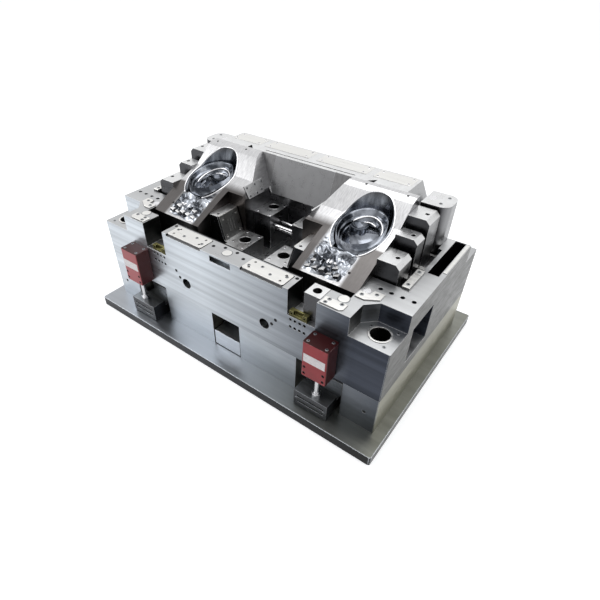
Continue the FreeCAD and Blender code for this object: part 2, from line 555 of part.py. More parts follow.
def rod_place():
    return (CYL_X0 + CYL_X1) / 2, -HY - CYL_D / 2


def piston_rod():
    x, y = rod_place()
    foot = CLAMP_T + REST_H + BRACKET_H
    rod = pin(x, y, foot, CYL_Z0 + ROD_IN, ROD_R)
    return rod.fuse(pin(x, y, foot, foot + ROD_NUT_H, ROD_NUT_R))


def cylinder_body():
    x, y = rod_place()
    body = box(CYL_X0, CYL_X1, -HY - CYL_D, -HY, CYL_Z0, CYL_Z1)
    upright = [e for e in body.Edges if abs(e.tangentAt(0).z) > 0.9]
    body = body.makeFillet(CYL_FILLET, upright)
    ports = [face_pin(x0, -HY - CYL_D - 1, CYL_Z0 + h, CYL_PORT_D, CYL_PORT_R, (0, 1, 0))
             for x0 in (CYL_X0 + CYL_PORT_IN, CYL_X1 - CYL_PORT_IN) for h in CYL_PORT_HEIGHTS]
    bore = pin(x, y, CYL_Z0 - 1, CYL_Z0 + ROD_IN + STROKE + ROD_ROOM, ROD_R + FIT)
    return cut(body, ports + [bore])


def main():
    os.makedirs("parts", exist_ok=True)
    export("clamp_plate", clamp_plate())
    pair("side_rail", side_rail())
    pair("spacer_front", inner_spacer())
    pair("spacer_rear", flip_y(inner_spacer()))
    export("core_plate", core_plate())
    pair("guide_bush_front", guide_bush())
    pair("guide_bush_rear", flip_y(guide_bush()))
    export("rear_wall", rear_wall())
    export("centre_block", centre_floor())
    pair("lamp_block", lamp_block())
    pair("lamp_core", lamp_core())
    pair("rear_pad", rear_pad())
    pair("front_pad", front_pad())
    pair("wedge_block", wedge_block())
    export("wedge_plates", Part.makeCompound(both(wedge_plate())))
    pair("corner_block", corner_block())
    for number, (y0, y1, top) in enumerate(SLIDES, 1):
        pair("slide_%d" % number, slide(y0, y1, top))
    pair("slide_gibs", slide_gibs())
    export("wear_plates", Part.makeCompound(both(wear_plate())))
    export("water_manifolds", Part.makeCompound(both(water_manifold())))
    export("pressure_discs", pressure_discs())
    export("interlock_post", interlock_post())
    export("ejector_plate", ejector_plate())
    export("retainer_plate", retainer_plate())
    export("rest_buttons", rest_buttons())
    export("return_pins", return_pins())
    export("ejector_pins", ejector_pins())
    export("ejector_guides", Part.makeCompound(four(ejector_guide())))
    export("ejector_bushes", Part.makeCompound(four(ejector_bush())))
    export("support_pillars", Part.makeCompound(four(support_pillar())))
    for end, place in (("front", lambda s: s), ("rear", flip_y)):
        pair("drive_bracket_" + end, place(drive_bracket()))
        pair("piston_rod_" + end, place(piston_rod()))
        pair("cylinder_" + end, place(cylinder_body()))


main()
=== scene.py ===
import json
import math

import bmesh
import bpy
from mathutils import Matrix, Vector, noise


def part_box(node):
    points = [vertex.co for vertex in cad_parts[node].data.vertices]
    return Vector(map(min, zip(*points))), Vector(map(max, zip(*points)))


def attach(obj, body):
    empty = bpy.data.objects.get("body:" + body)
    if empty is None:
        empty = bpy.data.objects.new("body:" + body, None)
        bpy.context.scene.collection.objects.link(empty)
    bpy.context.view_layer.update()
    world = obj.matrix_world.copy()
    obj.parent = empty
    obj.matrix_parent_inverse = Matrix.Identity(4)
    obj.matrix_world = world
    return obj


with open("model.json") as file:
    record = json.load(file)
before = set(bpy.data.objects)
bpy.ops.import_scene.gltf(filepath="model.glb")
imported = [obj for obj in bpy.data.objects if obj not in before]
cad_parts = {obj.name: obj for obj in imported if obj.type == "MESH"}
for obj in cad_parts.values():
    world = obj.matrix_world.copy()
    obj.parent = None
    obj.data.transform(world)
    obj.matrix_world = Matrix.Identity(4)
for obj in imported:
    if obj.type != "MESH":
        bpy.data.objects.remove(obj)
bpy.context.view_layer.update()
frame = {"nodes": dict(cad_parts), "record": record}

ROOT = "mould_base"
EJECTOR = "ejector"
NODES = frame["nodes"]
UP = (0, 0, 1)
SIDES = ((1, "right"), (-1, "left"))
FRONT_FACE = (1, -1)    # the axis of a normal, and its sign

# Places taken from the frame, in metres.
CORE_LO, CORE_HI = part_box("core_plate")
TOP = CORE_HI.z
FRONT_Y = CORE_LO.y
WALL_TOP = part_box("rear_wall")[1].z

# The right lamp bowl: its middle, its two radii and its floor. The left one mirrors it.
BOWL_X, BOWL_Y = 0.378, -0.024
BOWL_RX, BOWL_RY = 0.096, 0.122
BOWL_Z = 0.500


# ---- shader helpers -------------------------------------------------------------------
class Shader:
    """Adds and links the nodes of one material."""

    def __init__(self, name):
        self.material = bpy.data.materials.new(name)
        self.material.use_nodes = True
        self.tree = self.material.node_tree
        self.bsdf = self.tree.nodes["Principled BSDF"]

    def add(self, kind, **values):
        node = self.tree.nodes.new("ShaderNode" + kind)
        for key, value in values.items():
            setattr(node, key, value)
        return node

    def link(self, a, b):
        self.tree.links.new(a, b)

    def give(self, value, socket):
        """Links another node's output to a socket, or sets a plain value there."""
        if isinstance(value, bpy.types.NodeSocket):
            self.link(value, socket)
        else:
            socket.default_value = value

    def surface(self, name, value):
        self.give(value, self.bsdf.inputs[name])

    def noise(self, scale, stretch=(1, 1, 1), detail=4.0, rough=0.6):
        place = self.add("TexCoord")
        mapping = self.add("Mapping")
        mapping.inputs["Scale"].default_value = stretch
        pattern = self.add("TexNoise")
        pattern.inputs["Scale"].default_value = scale
        pattern.inputs["Detail"].default_value = detail
        pattern.inputs["Roughness"].default_value = rough
        self.link(place.outputs["Object"], mapping.inputs["Vector"])
        self.link(mapping.outputs["Vector"], pattern.inputs["Vector"])
        return pattern.outputs["Fac"]

    def spread(self, value, low, high, lo_in=0.3, hi_in=0.7):
        """Maps the range lo_in to hi_in onto the range low to high."""
        node = self.add("MapRange")
        node.inputs["From Min"].default_value = lo_in
        node.inputs["From Max"].default_value = hi_in
        node.inputs["To Min"].default_value = low
        node.inputs["To Max"].default_value = high
        self.link(value, node.inputs["Value"])
        return node.outputs["Result"]

    def blend(self, factor, a, b, mode="MIX"):
        node = self.add("Mix", data_type="RGBA", blend_type=mode)
        for socket, value in ((0, factor), (6, a), (7, b)):
            self.give(value, node.inputs[socket])
        return node.outputs[2]

    def calc(self, operation, *values):
        node = self.add("Math", operation=operation)
        for socket, value in enumerate(values):
            self.give(value, node.inputs[socket])
        return node.outputs[0]

    def times(self, a, b):
        return self.calc("MULTIPLY", a, b)

    def component(self, output, axis):
        """One axis of the object's own coordinates, or of its normal."""
        place = self.add("TexCoord")
        split = self.add("SeparateXYZ")
        self.link(place.outputs[output], split.inputs["Vector"])
        return split.outputs[axis]

    def along(self, axis, start, end):
        """0 at start and 1 at end, in metres along one axis of the object."""
        return self.spread(self.component("Object", axis), 0.0, 1.0, start, end)

    def facing(self, axis, sign):
        """1 on faces whose normal points along one axis of the object."""
        return self.spread(self.component("Normal", axis), 0.0, 1.0, 0.5 * sign, 0.9 * sign)

    def sides(self, front, flank):
        """Painted light and shade by the way a face points: white on tops, the colour front on faces
        along Y and flank on faces along X.
        """
        across = self.calc("ABSOLUTE", self.component("Normal", 0))
        upright = self.blend(self.spread(across, 0, 1, 0.3, 0.85), rgba(front), rgba(flank))
        top = self.spread(self.component("Normal", 2), 0, 1, 0.25, 0.8)
        return self.blend(top, upright, (1, 1, 1, 1))

    def lamp_distance(self):
        """0 in the middle of either lamp bowl and 1 on its rim, in plan."""
        x = self.calc("ABSOLUTE", self.component("Object", 0))
        y = self.component("Object", 1)
        squares = []
        for value, middle, radius in ((x, BOWL_X, BOWL_RX), (y, BOWL_Y, BOWL_RY)):
            away = self.calc("DIVIDE", self.calc("SUBTRACT", value, middle), radius)
            squares.append(self.times(away, away))
        return self.calc("SQRT", self.calc("ADD", *squares))

    def edges(self, radius):
        """A mask that is 1 on sharp edges, and the softened normal itself."""
        bevel = self.add("Bevel", samples=4)
        bevel.inputs["Radius"].default_value = radius
        geometry = self.add("NewGeometry")
        dot = self.add("VectorMath", operation="DOT_PRODUCT")
        self.link(bevel.outputs["Normal"], dot.inputs[0])
        self.link(geometry.outputs["Normal"], dot.inputs[1])
        return self.spread(dot.outputs["Value"], 1.0, 0.0, 0.86, 0.995), bevel.outputs["Normal"]

    def bump(self, height, strength, distance, normal=None):
        node = self.add("Bump")
        node.inputs["Strength"].default_value = strength
        node.inputs["Distance"].default_value = distance
        self.link(height, node.inputs["Height"])
        if normal is not None:
            self.link(normal, node.inputs["Normal"])
        self.surface("Normal", node.outputs["Normal"])


def rgba(color):
    return (*color, 1.0)


def shade(color, factor):
    return rgba([min(1.0, c * factor) for c in color])


# ---- materials ------------------------------------------------------------------------
# The colours of faces along Y and along X are painted shade; the next one is a pale, cool painted
# light for faces along Y.
SHADED_SIDES = ((0.085, 0.085, 0.09), (0.32, 0.32, 0.325))
FRONT_PAINTED_LIGHT = (0.84, 0.885, 0.93)


def steel(name, color, rough, grain, contrast, edge, tint=None, sides=SHADED_SIDES, bands=0.0,
          worn_share=0.5, radius=0.0022):
    """Machined metal with feed marks along its grain, faint stains, painted shade on its upright
    faces, and edges lightened partly as wear and partly as a painted highlight.

    tint darkens along one axis: (axis, start, end, colour at the end, face or None); held to
    the front faces it is painted shade.
    sides holds the painted shade of faces along Y and along X, and bands the share of dark
    stripes of painted reflection.
    """
    s = Shader(name)
    s.surface("Metallic", 1.0)
    feed = s.noise(3.0, grain, 5.0, 0.65)
    stain = s.noise(5.0, (1, 1, 1), 3.0, 0.5)
    base = s.blend(s.spread(feed, 0, 1), shade(color, 1 - contrast), shade(color, 1 + contrast))
    base = s.blend(s.spread(stain, 0.0, 0.3, 0.45, 0.75), base, shade(color, 0.86))
    # Painted reflection: dark vertical stripes, as a polished face would mirror its surroundings.
    if bands:
        mirror_noise = s.noise(3.0, (0.12, 0.12, 11), 3.0, 0.55)
        base = s.blend(s.spread(mirror_noise, bands, 0.0, 0.36, 0.62), base, shade(color, 0.3))
    # Painted shade: upright faces take the colours of sides, tops stay white.
    base = s.blend(1.0, base, s.sides(*sides), "MULTIPLY")
    # Darker towards the end of one axis; held to the front faces it is painted shade.
    if tint:
        axis, start, end, far, face = tint
        mask = s.along(axis, start, end)
        if face:
            mask = s.times(mask, s.facing(*face))
        base = s.blend(mask, base, rgba(far), "MULTIPLY")
    # Edges lightened, partly as wear and partly as a painted highlight on the chamfers.
    edge_mask, normal = s.edges(radius)
    base = s.blend(s.times(edge_mask, worn_share), base, shade(color, edge))
    s.surface("Base Color", base)
    s.surface("Roughness", s.spread(feed, rough - 0.06, rough + 0.09))
    s.bump(feed, 0.08, 0.0004, normal)
    return s.material


# Where the lamp block changes its finish: each pair is the start and end of a fade.
LIP_REAR = (-0.085, -0.10)
LIP_FRONT = (-0.262, -0.225)
LIP_INNER = (0.262, 0.285)
LIP_OUTER = (0.425, 0.445)
CHEEK_X = (0.268, 0.285)
CHEEK_Y = (-0.02, -0.06)
APRON_X = (0.43, 0.445)
APRON_Y = (-0.085, -0.095)


def hill_steel():
    """The lamp block: brushed saddle, painted shade on upright faces, dark cheek and apron, a
    mottled lip of painted reflection, and polished bowls painted dark as shade and reflection.
    """
    s = Shader("lamp_block_steel")
    s.surface("Metallic", 1.0)
    brushed = s.noise(4.0, (60, 6, 14), 4.0, 0.6)
    mottled = s.noise(26.0, (1.0, 1.6, 1.0), 4.0, 0.62)
    x = s.calc("ABSOLUTE", s.component("Object", 0))
    base = s.blend(s.spread(brushed, 0, 1), rgba((0.50, 0.50, 0.51)), rgba((0.72, 0.72, 0.73)))
    # Painted shade: upright faces darkened by the way they point, tops stay white.
    base = s.blend(1.0, base, s.sides((0.1, 0.1, 0.1), (0.42, 0.42, 0.43)), "MULTIPLY")
    # Painted reflection on the lip: black and pale patches, as its polished bumps would mirror.
    gloss = s.blend(s.spread(mottled, 0, 1, 0.46, 0.58), rgba((0.035, 0.038, 0.045)),
                    rgba((0.56, 0.59, 0.64)))
    across = s.times(s.spread(x, 0, 1, *LIP_INNER), s.spread(x, 1, 0, *LIP_OUTER))
    lip = s.times(s.times(s.along(1, *LIP_REAR), s.along(1, *LIP_FRONT)), across)
    base = s.blend(lip, base, gloss)
    cheek = s.times(s.spread(x, 1, 0, *CHEEK_X), s.along(1, *CHEEK_Y))
    base = s.blend(s.times(cheek, 0.9), base, rgba((0.055, 0.048, 0.045)))
    apron = s.times(s.spread(x, 0, 1, *APRON_X), s.along(1, *APRON_Y))
    base = s.blend(s.times(apron, 0.9), base, rgba((0.075, 0.067, 0.063)))
    # Painted shade and reflection: the polished bowls painted dark, with streaks.
    distance = s.lamp_distance()
    reflection_streak = s.noise(9.0, (3, 3, 0.7), 4.0, 0.6)
    well = s.blend(s.spread(reflection_streak, 0, 1, 0.4, 0.65), rgba((0.05, 0.055, 0.065)),
                   rgba((0.22, 0.235, 0.26)))
    base = s.blend(s.spread(distance, 1, 0, 1.06, 1.09), base, well)
    s.surface("Base Color", base)
    s.surface("Roughness", s.spread(distance, 0.12, 0.3, 1.0, 1.12))
    s.bump(mottled, 0.12, 0.002)
    return s.material


def paint(name, color):
    """Semi-gloss sprayed paint with orange peel, paler to the left as painted light, with painted
    shade on all but its front faces, and scuffed on its edges.
    """
    s = Shader(name)
    s.surface("Roughness", 0.42)
    s.surface("Specular IOR Level", 0.3)
    s.surface("Coat Weight", 0.08)
    s.surface("Coat Roughness", 0.2)
    patch = s.noise(9.0, (1, 1, 2), 4.0, 0.6)
    peel = s.noise(320.0, (1, 1, 1), 2.0, 0.5)
    base = s.blend(s.spread(patch, 0, 1), shade(color, 0.8), shade(color, 1.15))
    # Painted light: paler and pinker towards the left.
    left_light = s.spread(s.along(0, 0.1, -0.3), 0.0, 0.55, 0.0, 1.0)
    base = s.blend(left_light, base, rgba((0.44, 0.12, 0.13)))
    # Painted shade: all but the front faces darkened to a deep red.
    side_shade = s.blend(s.facing(*FRONT_FACE), rgba((0.11, 0.04, 0.04)), (1, 1, 1, 1))
    base = s.blend(1.0, base, side_shade, "MULTIPLY")
    edge_mask, normal = s.edges(0.002)
    chipped = s.times(edge_mask, s.spread(s.noise(60.0), 0, 1, 0.5, 0.62))
    base = s.blend(chipped, base, rgba((0.42, 0.30, 0.30)))
    s.surface("Base Color", base)
    s.bump(peel, 0.08, 0.0004, normal)
    return s.material


def mirror_steel():
    """Polished optic steel with a painted reflection in its colour: dark where it mirrors the well
    around it.
    """
    s = Shader("polished_optic")
    s.surface("Metallic", 1.0)
    haze_and_reflection = s.noise(14.0, (1, 1, 1), 3.0, 0.5)
    # Painted reflection: dark and pale patches in the base colour.
    base = s.blend(s.spread(haze_and_reflection, 0, 1, 0.4, 0.6), rgba((0.045, 0.05, 0.06)),
                   rgba((0.30, 0.32, 0.36)))
    s.surface("Base Color", base)
    s.surface("Roughness", s.spread(haze_and_reflection, 0.07, 0.2))
    s.bump(s.noise(40.0), 0.05, 0.0008)
    return s.material


def lip_steel():
    """Hand-polished steel with a painted reflection: dark and bright patches side by side, as its
    facets would mirror.
    """
    s = Shader("lip_chrome")
    s.surface("Metallic", 1.0)
    patch = s.noise(17.0, (1.0, 1.6, 0.4), 4.0, 0.55)
    slow = s.noise(6.0, (1, 1, 0.3), 2.0, 0.5)
    reflection_pattern = s.calc("ADD", s.times(patch, 0.6), s.times(slow, 0.4))
    # Painted reflection: black and pale patches in the base colour.
    base = s.blend(s.spread(reflection_pattern, 0, 1, 0.45, 0.55), rgba((0.04, 0.044, 0.052)),
                   rgba((0.50, 0.53, 0.58)))
    s.surface("Base Color", base)
    s.surface("Roughness", s.spread(patch, 0.12, 0.26))
    s.bump(patch, 0.08, 0.001)
    return s.material


def label_material():
    """The plain pale strip on a cylinder."""
    s = Shader("bare_label")
    s.surface("Roughness", 0.45)
    grain = s.noise(80.0, (1, 1, 5), 3.0)
    base = s.blend(s.spread(grain, 0, 1), rgba((0.62, 0.58, 0.58)), rgba((0.84, 0.80, 0.80)))
    s.surface("Base Color", base)
    s.bump(grain, 0.05, 0.0003)
    return s.material


# In every steel() call below, the sides pair is painted shade of upright faces, and the edge factor
# lightens edges partly as wear and partly as a painted highlight.
MATERIALS = {
    # Front faces: painted shade growing darker towards the right, a pale cool painted light, and
    # painted reflection in dark vertical stripes.
    "machined_steel": steel(
        "milled_plate", (0.66, 0.67, 0.68), rough=0.33, grain=(0.7, 6, 26), contrast=0.1, edge=1.1,
        tint=(0, -0.12, 0.58, (0.085, 0.09, 0.11), FRONT_FACE),
        sides=(FRONT_PAINTED_LIGHT, (0.085, 0.085, 0.08)), bands=0.45, worn_share=0.35),
    # Front faces: painted shade growing darker towards the right, a pale cool painted light, and a
    # little painted reflection in dark vertical stripes.
    "rail_steel": steel(
        "spacer_steel", (0.58, 0.59, 0.60), rough=0.36, grain=(2, 6, 14), contrast=0.1, edge=1.1,
        tint=(0, 0.0, 0.7, (0.19, 0.195, 0.215), FRONT_FACE),
        sides=(FRONT_PAINTED_LIGHT, (0.52, 0.50, 0.40)), bands=0.15, worn_share=0.35),
    # Darker and yellower towards the right; very dark painted shade on upright faces, and edges
    # lightened strongly, partly as wear and partly as a painted highlight.
    "clamp_steel": steel(
        "clamp_plate_steel", (0.40, 0.42, 0.45), rough=0.36, grain=(1, 14, 20), contrast=0.08,
        edge=2.1, tint=(0, 0.0, 0.72, (0.62, 0.60, 0.50), None),
        sides=((0.05, 0.05, 0.055), (0.06, 0.06, 0.06)), worn_share=0.9, radius=0.004),
    "insert_steel": steel(
        "insert_steel", (0.76, 0.765, 0.77), rough=0.3, grain=(14, 8, 14), contrast=0.05, edge=1.1),
    "plate_steel": steel(
        "ejector_plate_steel", (0.62, 0.64, 0.66), rough=0.34, grain=(2, 8, 20), contrast=0.08,
        edge=1.3, sides=((0.85, 0.87, 0.9), (0.25, 0.25, 0.25))),
    "lamp_steel": hill_steel(),
    "ground_steel": steel(
        "ground_steel", (0.80, 0.795, 0.775), rough=0.32, grain=(3, 30, 30), contrast=0.04,
        edge=1.1),
    "polished_steel": mirror_steel(),
    "dark_steel": steel(
        "oiled_steel", (0.25, 0.26, 0.27), rough=0.38, grain=(4, 30, 30), contrast=0.2, edge=2.6,
        sides=((0.22, 0.22, 0.23), (0.14, 0.14, 0.15))),
    "bright_pin": steel(
        "bright_pin_steel", (0.82, 0.82, 0.84), rough=0.16, grain=(40, 40, 3), contrast=0.05,
        edge=1.1, sides=((0.6, 0.6, 0.6), (0.6, 0.6, 0.6))),
    "bronze": steel(
        "olive_bronze", (0.30, 0.28, 0.12), rough=0.42, grain=(6, 6, 6), contrast=0.3, edge=1.8,
        sides=((0.2, 0.2, 0.2), (0.3, 0.3, 0.3))),
    "red_paint": paint("red_enamel", (0.27, 0.016, 0.022)),
    # Also the painted shade in screw sockets, holes and ports, and the dark joint line on the front
    # wall.
    "black_screw": steel(
        "black_screw", (0.02, 0.02, 0.022), rough=0.42, grain=(30, 30, 30), contrast=0.2, edge=1.6,
        sides=((0.8, 0.8, 0.8), (0.8, 0.8, 0.8))),
    "bare_label": label_material(),
    "lip_chrome": lip_steel(),
}

# Nodes whose look differs from the rest of their slot. Right and left twins share a row.
SPECIAL = {"clamp_plate": "clamp_steel", "lamp_block": "lamp_steel", "side_rail": "rail_steel",
           "spacer_front": "rail_steel", "spacer_rear": "rail_steel",
           "ejector_plate": "plate_steel", "retainer_plate": "plate_steel"}


def dress_nodes():
    slots = {row["node"]: row["material_slot"] for row in frame["record"]["subparts"]}
    for name, node in NODES.items():
        look = SPECIAL.get(name.replace("_right", "").replace("_left", ""), slots[name])
        node.data.materials.clear()
        node.data.materials.append(MATERIALS[look])


# ---- mesh helpers ---------------------------------------------------------------------
def piece(name, bm, material, body, smooth=False):
    mesh = bpy.data.meshes.new(name)
    bmesh.ops.recalc_face_normals(bm, faces=bm.faces)
    bm.to_mesh(mesh)
    bm.free()
    obj = bpy.data.objects.new(name, mesh)
    bpy.context.scene.collection.objects.link(obj)
    mesh.materials.append(MATERIALS[material])
    for face in mesh.polygons:
        face.use_smooth = smooth
    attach(obj, body)


def basis(normal):
    """A frame whose third axis is the given normal."""
    n = Vector(normal).normalized()
    side = Vector((0, 0, 1)) if abs(n.z) < 0.9 else Vector((1, 0, 0))
    u = side.cross(n).normalized()
    return Matrix((u, n.cross(u), n)).transposed()


def circle(radius, height, steps):
    """Points of a circle about the Z axis."""
    turns = [2 * math.pi * i / steps for i in range(steps)]
    return [Vector((radius * math.cos(a), radius * math.sin(a), height)) for a in turns]


def skin(bm, rings, closed=False):
    """Quads from each ring to the next, and from the last to the first if closed."""
    following = rings[1:] + rings[:1] if closed else rings[1:]
    for a, b in zip(rings, following):
        for i in range(len(a)):
            j = (i + 1) % len(a)
            bm.faces.new((a[i], a[j], b[j], b[i]))


def capped_skin(bm, rings):
    """Quads from ring to ring, and a face on either end."""
    skin(bm, rings)
    bm.faces.new(rings[-1])
    bm.faces.new(rings[0][::-1])


def add_lathe(bm, profile, centre, normal, steps):
    """Turns a profile of (radius, height) pairs about the normal at a centre."""
    turn = basis(normal)
    rings = [[bm.verts.new(turn @ p + centre) for p in circle(r, h, steps)] for r, h in profile]
    capped_skin(bm, rings)


def turn_ring(bm, profile, centre, steps=40):
    """A ring about +Z whose section is a closed profile."""
    rings = [[bm.verts.new(centre + p) for p in circle(r, h, steps)] for r, h in profile]
    skin(bm, rings, closed=True)


def tube(bm, points, radius, steps):
    """A closed round tube through a list of points."""
    rings = []
    for i, point in enumerate(points):
        ahead = points[min(i + 1, len(points) - 1)] - points[max(i - 1, 0)]
        turn = basis(ahead)
        rings.append([bm.verts.new(point + turn @ p) for p in circle(radius, 0, steps)])
    capped_skin(bm, rings)


def add_plate(bm, outline, thickness, bevel, to_world):
    """A flat plate with a bevelled rim. Its outline lies in the local XY plane."""
    corners = [Vector(corner) for corner in outline]
    centre = sum(corners, Vector((0, 0))) / len(corners)
    rings = []
    for inset, height in ((0, 0), (0, thickness - bevel), (bevel, thickness)):
        moved = [corner + (centre - corner).normalized() * inset for corner in corners]
        rings.append([bm.verts.new(to_world(p.x, p.y, height)) for p in moved])
    capped_skin(bm, rings)


def rectangle(x0, x1, y0, y1):
    return [(x0, y0), (x1, y0), (x1, y1), (x0, y1)]


def level(z, s=1):
    """Lays a plate's local XY plane at a height, mirrored to the left when s is -1."""
    return lambda x, y, h: Vector((s * x, y, z + h))


def twin_plates(name, material, z, plates):
    """One piece of flat plates at a height, each (outline, thickness, bevel) on both sides."""
    bm = bmesh.new()
    for s, _ in SIDES:
        for outline, thickness, bevel in plates:
            add_plate(bm, outline, thickness, bevel, level(z, s))
    piece(name, bm, material, ROOT)


def screws(name, spots, normal, radius, body=ROOT, rim="dark_steel"):
    """Socket screws: low chamfered heads, and their dark six-sided sockets as a second piece, a
    raised black hexagon that paints the shade inside each socket.
    """
    heads = bmesh.new()
    sockets = bmesh.new()
    for spot in spots:
        add_lathe(heads, [(radius, -0.001), (radius, 0.0004), (radius * 0.86, 0.0012),
                          (radius * 0.5, 0.0012)], Vector(spot), normal, 20)
        add_lathe(sockets, [(radius * 0.5, 0.0011), (radius * 0.48, 0.0015),
                            (radius * 0.2, 0.0014)], Vector(spot), normal, 6)
    piece(name, heads, rim, body)
    piece(name + "_sockets", sockets, "black_screw", body)


def hole_shade_discs(name, spots, normal, radius):
    """Dark, dished discs at the mouths of drilled holes that are too small for the solids: painted
    shade inside the holes.
    """
    bm = bmesh.new()
    profile = [(radius, -0.0006), (radius, 0.0005), (radius * 0.8, 0.0003)]
    for spot in spots:
        add_lathe(bm, profile, Vector(spot), normal, 18)
    piece(name, bm, "black_screw", ROOT)


def both_sides(spots):
    return [(s * x, y, z) for x, y, z in spots for s, _ in SIDES]


# ---- plates and screws of the base ------------------------------------------------------
WEAR_SCREW_PLAN = ((0.118, 0.2), (0.165, 0.75), (0.215, 0.2), (0.272, 0.8))    # X, share of width
JOINT_HALF, JOINT_BACK, JOINT_WIDTH = 0.312, 0.0885, 0.005
DISC_MARGIN = 0.019
SIDE_DISC_Y, MIDDLE_DISC_Y = -0.318, -0.344


def front_wall_details():
    """Screws, holes, disc rims and the joint line on top of the front wall, and face holes."""
    lo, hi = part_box("wear_plates")
    y0 = lo.y + 0.018
    y1 = hi.y - 0.016
    spots = [(x, y0 + (y1 - y0) * share, hi.z) for x, share in WEAR_SCREW_PLAN]
    screws("wear_plate_screws", both_sides(spots), UP, 0.0065)
    wall = [(0.075, FRONT_Y + 0.05, TOP), (0.03, FRONT_Y + 0.068, TOP), (0.303, FRONT_Y + 0.07, TOP)]
    hole_shade_discs("front_wall_holes", both_sides(wall), UP, 0.007)
    face = [(0.262, FRONT_Y, 0.352), (0.244, FRONT_Y, 0.325)]
    hole_shade_discs("front_face_holes", both_sides(face), (0, -1, 0), 0.007)
    joint = bmesh.new()
    back = FRONT_Y + JOINT_BACK
    add_plate(joint, rectangle(-JOINT_HALF, JOINT_HALF, back - JOINT_WIDTH, back), 0.0009, 0.0003,
              level(TOP - 0.0004))
    piece("front_wall_joint", joint, "black_screw", ROOT)
    rims = bmesh.new()
    disc_lo, disc_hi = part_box("pressure_discs")
    profile = [(0.0208, -0.0004), (0.0208, 0.0009), (0.0192, 0.0012), (0.0186, 0.0004)]
    for x, y in ((disc_lo.x + DISC_MARGIN, SIDE_DISC_Y), (0.0, MIDDLE_DISC_Y),
                 (disc_hi.x - DISC_MARGIN, SIDE_DISC_Y)):
        add_lathe(rims, profile, Vector((x, y, TOP)), UP, 36)
    piece("disc_rims", rims, "dark_steel", ROOT)


# Outlines on the right-hand ledge, in plan.
LEDGE_PLATE = [(0.436, -0.382), (0.508, -0.382), (0.520, -0.372), (0.520, -0.342), (0.436, -0.342)]
CORNER_PLATE = [(0.510, -0.285), (0.545, -0.285), (0.590, -0.258), (0.590, -0.222),
                (0.552, -0.222), (0.546, -0.250), (0.510, -0.250)]
STOP_PLATE = rectangle(0.612, 0.640, -0.148, -0.020)
LEDGE_T, CORNER_T, STOP_T = 0.004, 0.005, 0.010


def plateau_details():
    """Screwed wear plates and stops on the ledges, and the screws of the stepped corners."""
    twin_plates("ledge_plates", "ground_steel", TOP, [
        (LEDGE_PLATE, LEDGE_T, 0.0015), (CORNER_PLATE, CORNER_T, 0.0015),
        (STOP_PLATE, STOP_T, 0.002)])
    plan = (((0.452, -0.372), LEDGE_T), ((0.456, -0.352), LEDGE_T), ((0.503, -0.352), LEDGE_T),
            ((0.526, -0.266), CORNER_T), ((0.568, -0.240), CORNER_T),
            ((0.626, -0.130), STOP_T), ((0.626, -0.040), STOP_T))
    screws("ledge_screws", both_sides([(*spot, TOP + t) for spot, t in plan]), UP, 0.0075)
    step_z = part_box("guide_bush_front_right")[1].z - 0.002
    corners = [(0.592, -0.300, step_z), (0.672, -0.366, step_z), (0.680, -0.282, step_z)]
    screws("corner_screws", both_sides(corners), UP, 0.006)
    rear = [(x, -y, z) for x, y, z in corners]
    screws("rear_corner_screws", both_sides(rear), UP, 0.006)


REAR_STRIP_Y = (0.318, 0.362)


def rear_ledge_details():
    """Ground strips beside the side pocket and on the strip behind the rear wall."""
    twin_plates("rear_ledge_plates", "ground_steel", TOP, [
        (rectangle(0.690, 0.703, 0.02, 0.255), 0.003, 0.001),
        (rectangle(0.300, 0.500, *REAR_STRIP_Y), 0.004, 0.0015),
        (rectangle(0.050, 0.250, *REAR_STRIP_Y), 0.004, 0.0015)])
    middle = sum(REAR_STRIP_Y) / 2
    spots = [(x, middle, TOP + 0.004) for x in (0.07, 0.15, 0.23, 0.32, 0.40, 0.48)]
    screws("rear_ledge_screws", both_sides(spots), UP, 0.0075)


# ---- inserts ----------------------------------------------------------------------------
# The drafted side of the centre channel, seen from the front: X and Z of its two ends.
CHANNEL_LOW = (0.134, 0.556)
CHANNEL_HIGH = (0.225, 0.703)
CHANNEL_DX = CHANNEL_HIGH[0] - CHANNEL_LOW[0]
CHANNEL_DZ = CHANNEL_HIGH[1] - CHANNEL_LOW[1]

# On that side: Y in metres, and the share of the way up.
CHANNEL_PLATE = [(-0.045, 0.12), (0.055, 0.12), (0.072, 0.34), (0.075, 0.44), (-0.045, 0.44)]
CHANNEL_SCREWS = ((-0.032, 0.17), (-0.032, 0.38), (0.012, 0.17), (0.018, 0.38), (0.045, 0.2),
                  (0.06, 0.38))
CHANNEL_PLATE_T = 0.005


def channel_normal(s):
    return Vector((-s * CHANNEL_DZ, 0, CHANNEL_DX)).normalized()


def channel_point(s, y, share, lift):
    """A point on the side of the centre channel, lifted off its surface."""
    x = CHANNEL_LOW[0] + CHANNEL_DX * share
    z = CHANNEL_LOW[1] + CHANNEL_DZ * share
    return Vector((s * x, y, z)) + channel_normal(s) * lift


def channel_plates():
    plates = bmesh.new()
    for s, _ in SIDES:

        def on_side(y, share, h, s=s):
            return channel_point(s, y, share, h)

        add_plate(plates, CHANNEL_PLATE, CHANNEL_PLATE_T, 0.0012, on_side)
    piece("channel_wear_plates", plates, "insert_steel", ROOT)
    for s, tag in SIDES:
        spots = [channel_point(s, y, share, CHANNEL_PLATE_T) for y, share in CHANNEL_SCREWS]
        screws("channel_screws_" + tag, spots, channel_normal(s), 0.0055)


WALL_PLATE = [(0.285, 0.205), (0.435, 0.205), (0.445, 0.215), (0.445, 0.282), (0.285, 0.282)]
WALL_PLATE_T = 0.0055
WALL_PLATE_RISE = 0.001


